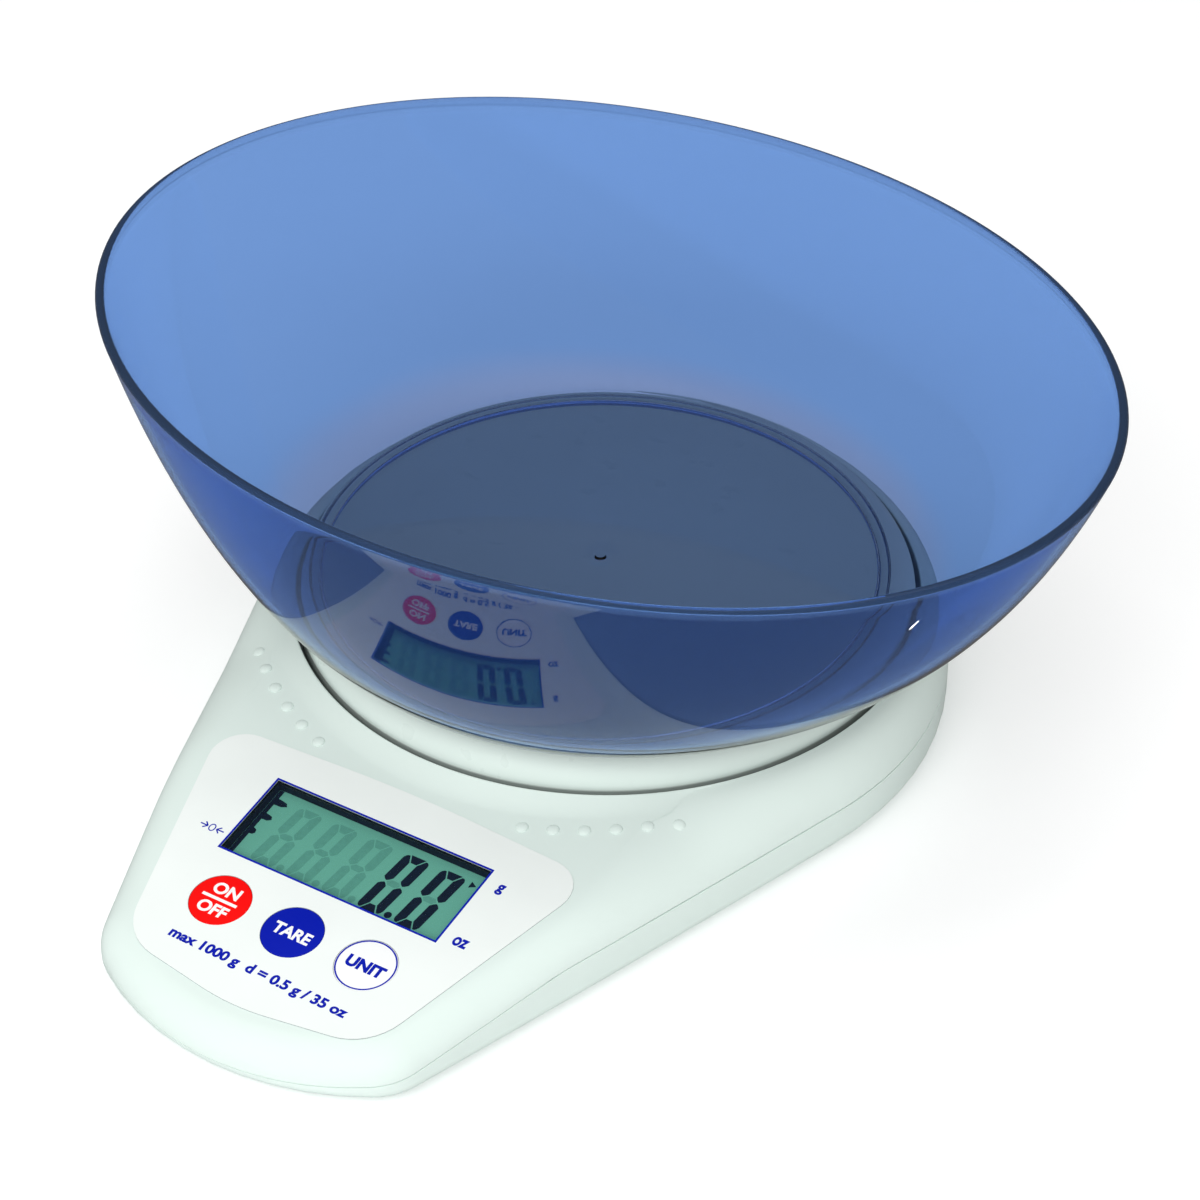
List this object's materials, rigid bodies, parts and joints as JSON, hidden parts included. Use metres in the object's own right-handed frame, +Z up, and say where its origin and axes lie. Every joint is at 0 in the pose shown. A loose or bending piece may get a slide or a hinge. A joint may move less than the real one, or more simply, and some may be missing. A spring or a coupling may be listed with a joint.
{
  "type": "kitchen scale",
  "caption": "Digital kitchen scale with a loose oval bowl, a round weighing platform on a load cell, and a sloping deck with display and push buttons.",
  "frame": {"origin": "middle of the footprint, on the surface that the rubber feet stand on", "axes": "+Z up, -Y towards the display end, X across the scale"},
  "size_m": [0.2502, 0.2547, 0.1042],
  "materials": {
    "bowl_plastic": "clear tinted, polished",
    "platform_plastic": "moulded, satin gloss",
    "sheet_steel": "zinc plated",
    "screw_steel": "zinc plated",
    "beam_aluminium": "machined",
    "gauge_coating": "silicone coat over foil",
    "housing_plastic": "moulded, satin gloss",
    "foot_rubber": "matte",
    "label_film": "printed film, satin",
    "clear_pane": "clear acrylic, polished",
    "black_plastic": "moulded, matte",
    "display_film": "polarising film, satin",
    "display_glass": "two bonded sheets",
    "strip_rubber": "matte",
    "board_laminate": "solder mask, satin",
    "button_red": "moulded, gloss",
    "button_blue": "moulded, gloss",
    "button_white": "moulded, gloss",
    "plunger_plastic": "moulded",
    "cell_jacket": "printed jacket, gloss",
    "spring_steel": "nickel plated",
    "cable_jacket": "soft PVC",
    "wire_red": "soft PVC"
  },
  "bodies": {
    "housing": {"load_cell": "beam_aluminium", "strain_gauge_top": "gauge_coating", "strain_gauge_bottom": "gauge_coating", "load_cell_base_spacer": "sheet_steel", "load_cell_base_screws": "screw_steel", "top_housing": "housing_plastic", "bottom_housing": "housing_plastic", "housing_screws": "screw_steel", "rubber_feet": "foot_rubber", "overlay_label": "label_film", "display_window": "clear_pane", "display_frame": "black_plastic", "display_film": "display_film", "display_glass": "display_glass", "contact_strip_rear": "strip_rubber", "contact_strip_front": "strip_rubber", "circuit_board": "board_laminate", "board_screws": "screw_steel", "chip_cover": "black_plastic", "switch_on_off": "black_plastic", "switch_tare": "black_plastic", "switch_unit": "black_plastic", "battery_front": "cell_jacket", "battery_rear": "cell_jacket", "battery_spring_left": "spring_steel", "battery_spring_right": "spring_steel", "battery_plate_left": "spring_steel", "battery_plate_right": "spring_steel", "load_cell_cable": "cable_jacket", "battery_wire_red": "wire_red", "battery_wire_black": "black_plastic"},
    "weighing_platform": {"platform": "platform_plastic", "platform_bracket": "sheet_steel", "platform_screws": "screw_steel", "load_cell_top_spacer": "sheet_steel", "load_cell_top_screws": "screw_steel"},
    "mixing_bowl": {"bowl": "bowl_plastic"},
    "on_off_button": {"button_on_off": "button_red", "plunger_on_off": "plunger_plastic"},
    "tare_button": {"button_tare": "button_blue", "plunger_tare": "plunger_plastic"},
    "unit_button": {"button_unit": "button_white", "plunger_unit": "plunger_plastic"},
    "battery_lid": {"battery_door": "housing_plastic"}
  },
  "joints": [
    {"name": "platform_press", "type": "slide", "parent": "housing", "child": "weighing_platform", "axis": [0, 0, -1], "range_m": [0, 0.0005], "stiffness_N_per_m": 20000, "springref_m": -0.00015, "deforming": ["load_cell"]},
    {"name": "bowl_lift", "type": "slide", "parent": "weighing_platform", "child": "mixing_bowl", "axis": [0, 0, 1], "range_m": [0, 0.15]},
    {"name": "on_off_press", "type": "slide", "parent": "housing", "child": "on_off_button", "axis": [0, 0.1392, -0.9903], "range_m": [0, 0.0003], "stiffness_N_per_m": 5000},
    {"name": "tare_press", "type": "slide", "parent": "housing", "child": "tare_button", "axis": [0, 0.1392, -0.9903], "range_m": [0, 0.0003], "stiffness_N_per_m": 5000},
    {"name": "unit_press", "type": "slide", "parent": "housing", "child": "unit_button", "axis": [0, 0.1392, -0.9903], "range_m": [0, 0.0003], "stiffness_N_per_m": 5000},
    {"name": "battery_door_hinge", "type": "hinge", "parent": "housing", "child": "battery_lid", "pos_m": [0, 0.0645, 0.0046], "axis": [-1, 0, 0], "range_deg": [0, 85]}
  ]
}
